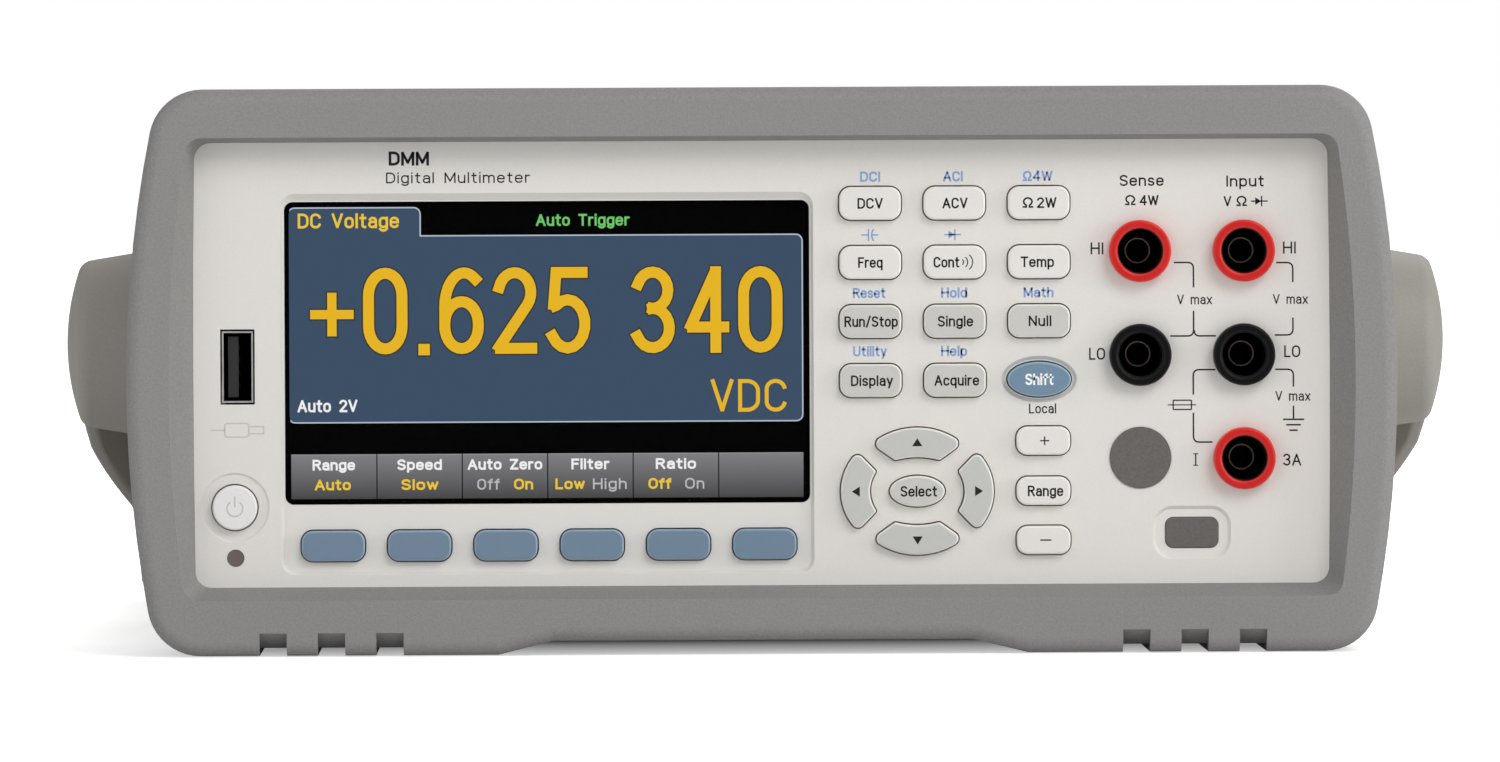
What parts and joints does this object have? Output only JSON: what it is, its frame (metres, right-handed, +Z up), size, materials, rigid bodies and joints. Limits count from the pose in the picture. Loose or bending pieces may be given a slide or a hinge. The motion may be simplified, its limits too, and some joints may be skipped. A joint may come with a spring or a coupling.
{
  "type": "bench multimeter",
  "caption": "Half-rack bench multimeter: box case with rubber bumpers, swinging bail handle, colour display, push keys and shrouded test sockets in a recessed front panel.",
  "frame": {"origin": "on the surface that the feet stand on, at the middle of the footprint", "axes": "+X to the right as seen from the front, +Y to the back, +Z up; the front panel faces -Y"},
  "size_m": [0.2612, 0.3032, 0.1038],
  "materials": {
    "case_paint": "fine textured light paint",
    "rear_paint": "fine textured grey paint",
    "plated_sheet": "zinc-plated sheet",
    "panel_plastic": "fine moulded grain",
    "bumper_rubber": "fine matt grain",
    "handle_plastic": "fine moulded grain",
    "pivot_plastic": "plain moulded",
    "window_glass": "clear, glossy",
    "display_face": "dark display glass in a metal frame",
    "keypad_silicone": "soft silicone",
    "circuit_board": "green solder mask",
    "white_key": "satin moulded",
    "grey_key": "satin moulded",
    "arrow_key": "satin moulded",
    "blue_softkey": "satin moulded",
    "shift_key": "satin moulded",
    "power_key": "satin moulded",
    "jack_red": "moulded, slightly glossy",
    "jack_black": "moulded, slightly glossy",
    "contact_metal": "nickel-plated brass",
    "connector_metal": "nickel-plated",
    "black_plastic": "plain moulded",
    "blank_plastic": "spark-eroded texture",
    "indicator_plastic": "dark translucent",
    "transformer_iron": "varnished laminations",
    "screw_steel": "zinc-plated"
  },
  "bodies": {
    "instrument": {"case_sleeve": "case_paint", "chassis_tray": "plated_sheet", "display_window": "window_glass", "front_bezel": "panel_plastic", "front_board": "circuit_board", "front_bumper": "bumper_rubber", "handle_pivots": "pivot_plastic", "indicator_lens": "indicator_plastic", "inlet_pins": "connector_metal", "jack_contacts": "contact_metal", "jack_current": "jack_red", "jack_input_hi": "jack_red", "jack_input_lo": "jack_black", "jack_sense_hi": "jack_red", "jack_sense_lo": "jack_black", "keypad_mat": "keypad_silicone", "lan_socket": "connector_metal", "lcd_module": "display_face", "main_board": "circuit_board", "mains_inlet": "black_plastic", "measurement_shield": "plated_sheet", "power_transformer": "transformer_iron", "rear_bumper": "bumper_rubber", "rear_panel": "rear_paint", "round_blank_plug": "blank_plastic", "screws": "screw_steel", "switch_blank_plug": "blank_plastic", "trigger_connectors": "connector_metal", "usb_device_socket": "connector_metal", "usb_host_shell": "connector_metal", "usb_host_tongue": "black_plastic"},
    "handle": {"handle_bail": "handle_plastic"},
    "fuse_drawer": {"fuse_drawer": "black_plastic"},
    "key_dc_volts": {"key_dc_volts": "white_key"},
    "key_ac_volts": {"key_ac_volts": "white_key"},
    "key_ohms": {"key_ohms": "white_key"},
    "key_frequency": {"key_frequency": "white_key"},
    "key_continuity": {"key_continuity": "white_key"},
    "key_temperature": {"key_temperature": "white_key"},
    "key_run_stop": {"key_run_stop": "grey_key"},
    "key_single": {"key_single": "grey_key"},
    "key_null": {"key_null": "grey_key"},
    "key_display": {"key_display": "grey_key"},
    "key_acquire": {"key_acquire": "grey_key"},
    "key_shift": {"key_shift": "shift_key"},
    "softkey_1": {"softkey_1": "blue_softkey"},
    "softkey_2": {"softkey_2": "blue_softkey"},
    "softkey_3": {"softkey_3": "blue_softkey"},
    "softkey_4": {"softkey_4": "blue_softkey"},
    "softkey_5": {"softkey_5": "blue_softkey"},
    "softkey_6": {"softkey_6": "blue_softkey"},
    "key_range_up": {"key_range_up": "white_key"},
    "key_range_auto": {"key_range_auto": "white_key"},
    "key_range_down": {"key_range_down": "white_key"},
    "key_arrow_up": {"key_arrow_up": "arrow_key"},
    "key_arrow_left": {"key_arrow_left": "arrow_key"},
    "key_arrow_down": {"key_arrow_down": "arrow_key"},
    "key_arrow_right": {"key_arrow_right": "arrow_key"},
    "key_select": {"key_select": "grey_key"},
    "power_button": {"power_button": "power_key"}
  },
  "joints": [
    {"name": "key_dc_volts_press", "type": "slide", "parent": "instrument", "child": "key_dc_volts", "axis": [0, 1, 0], "range_m": [0, 0.0012], "stiffness_N_per_m": 200, "springref_m": -0.0005},
    {"name": "key_ac_volts_press", "type": "slide", "parent": "instrument", "child": "key_ac_volts", "axis": [0, 1, 0], "range_m": [0, 0.0012], "stiffness_N_per_m": 200, "springref_m": -0.0005},
    {"name": "key_ohms_press", "type": "slide", "parent": "instrument", "child": "key_ohms", "axis": [0, 1, 0], "range_m": [0, 0.0012], "stiffness_N_per_m": 200, "springref_m": -0.0005},
    {"name": "key_frequency_press", "type": "slide", "parent": "instrument", "child": "key_frequency", "axis": [0, 1, 0], "range_m": [0, 0.0012], "stiffness_N_per_m": 200, "springref_m": -0.0005},
    {"name": "key_continuity_press", "type": "slide", "parent": "instrument", "child": "key_continuity", "axis": [0, 1, 0], "range_m": [0, 0.0012], "stiffness_N_per_m": 200, "springref_m": -0.0005},
    {"name": "key_temperature_press", "type": "slide", "parent": "instrument", "child": "key_temperature", "axis": [0, 1, 0], "range_m": [0, 0.0012], "stiffness_N_per_m": 200, "springref_m": -0.0005},
    {"name": "key_run_stop_press", "type": "slide", "parent": "instrument", "child": "key_run_stop", "axis": [0, 1, 0], "range_m": [0, 0.0012], "stiffness_N_per_m": 200, "springref_m": -0.0005},
    {"name": "key_single_press", "type": "slide", "parent": "instrument", "child": "key_single", "axis": [0, 1, 0], "range_m": [0, 0.0012], "stiffness_N_per_m": 200, "springref_m": -0.0005},
    {"name": "key_null_press", "type": "slide", "parent": "instrument", "child": "key_null", "axis": [0, 1, 0], "range_m": [0, 0.0012], "stiffness_N_per_m": 200, "springref_m": -0.0005},
    {"name": "key_display_press", "type": "slide", "parent": "instrument", "child": "key_display", "axis": [0, 1, 0], "range_m": [0, 0.0012], "stiffness_N_per_m": 200, "springref_m": -0.0005},
    {"name": "key_acquire_press", "type": "slide", "parent": "instrument", "child": "key_acquire", "axis": [0, 1, 0], "range_m": [0, 0.0012], "stiffness_N_per_m": 200, "springref_m": -0.0005},
    {"name": "key_shift_press", "type": "slide", "parent": "instrument", "child": "key_shift", "axis": [0, 1, 0], "range_m": [0, 0.0012], "stiffness_N_per_m": 200, "springref_m": -0.0005},
    {"name": "softkey_1_press", "type": "slide", "parent": "instrument", "child": "softkey_1", "axis": [0, 1, 0], "range_m": [0, 0.0012], "stiffness_N_per_m": 200, "springref_m": -0.0005},
    {"name": "softkey_2_press", "type": "slide", "parent": "instrument", "child": "softkey_2", "axis": [0, 1, 0], "range_m": [0, 0.0012], "stiffness_N_per_m": 200, "springref_m": -0.0005},
    {"name": "softkey_3_press", "type": "slide", "parent": "instrument", "child": "softkey_3", "axis": [0, 1, 0], "range_m": [0, 0.0012], "stiffness_N_per_m": 200, "springref_m": -0.0005},
    {"name": "softkey_4_press", "type": "slide", "parent": "instrument", "child": "softkey_4", "axis": [0, 1, 0], "range_m": [0, 0.0012], "stiffness_N_per_m": 200, "springref_m": -0.0005},
    {"name": "softkey_5_press", "type": "slide", "parent": "instrument", "child": "softkey_5", "axis": [0, 1, 0], "range_m": [0, 0.0012], "stiffness_N_per_m": 200, "springref_m": -0.0005},
    {"name": "softkey_6_press", "type": "slide", "parent": "instrument", "child": "softkey_6", "axis": [0, 1, 0], "range_m": [0, 0.0012], "stiffness_N_per_m": 200, "springref_m": -0.0005},
    {"name": "key_range_up_press", "type": "slide", "parent": "instrument", "child": "key_range_up", "axis": [0, 1, 0], "range_m": [0, 0.0012], "stiffness_N_per_m": 200, "springref_m": -0.0005},
    {"name": "key_range_auto_press", "type": "slide", "parent": "instrument", "child": "key_range_auto", "axis": [0, 1, 0], "range_m": [0, 0.0012], "stiffness_N_per_m": 200, "springref_m": -0.0005},
    {"name": "key_range_down_press", "type": "slide", "parent": "instrument", "child": "key_range_down", "axis": [0, 1, 0], "range_m": [0, 0.0012], "stiffness_N_per_m": 200, "springref_m": -0.0005},
    {"name": "key_arrow_up_press", "type": "slide", "parent": "instrument", "child": "key_arrow_up", "axis": [0, 1, 0], "range_m": [0, 0.0012], "stiffness_N_per_m": 200, "springref_m": -0.0005},
    {"name": "key_arrow_left_press", "type": "slide", "parent": "instrument", "child": "key_arrow_left", "axis": [0, 1, 0], "range_m": [0, 0.0012], "stiffness_N_per_m": 200, "springref_m": -0.0005},
    {"name": "key_arrow_down_press", "type": "slide", "parent": "instrument", "child": "key_arrow_down", "axis": [0, 1, 0], "range_m": [0, 0.0012], "stiffness_N_per_m": 200, "springref_m": -0.0005},
    {"name": "key_arrow_right_press", "type": "slide", "parent": "instrument", "child": "key_arrow_right", "axis": [0, 1, 0], "range_m": [0, 0.0012], "stiffness_N_per_m": 200, "springref_m": -0.0005},
    {"name": "key_select_press", "type": "slide", "parent": "instrument", "child": "key_select", "axis": [0, 1, 0], "range_m": [0, 0.0012], "stiffness_N_per_m": 200, "springref_m": -0.0005},
    {"name": "power_button_press", "type": "slide", "parent": "instrument", "child": "power_button", "axis": [0, 1, 0], "range_m": [0, 0.0015], "stiffness_N_per_m": 200, "springref_m": -0.0005},
    {"name": "handle_swing", "type": "hinge", "parent": "instrument", "child": "handle", "pos_m": [0, -0.0666, 0.056], "axis": [-1, 0, 0], "range_deg": [0, 250]},
    {"name": "fuse_drawer_slide", "type": "slide", "parent": "instrument", "child": "fuse_drawer", "axis": [0, 1, 0], "range_m": [0, 0.016]}
  ]
}
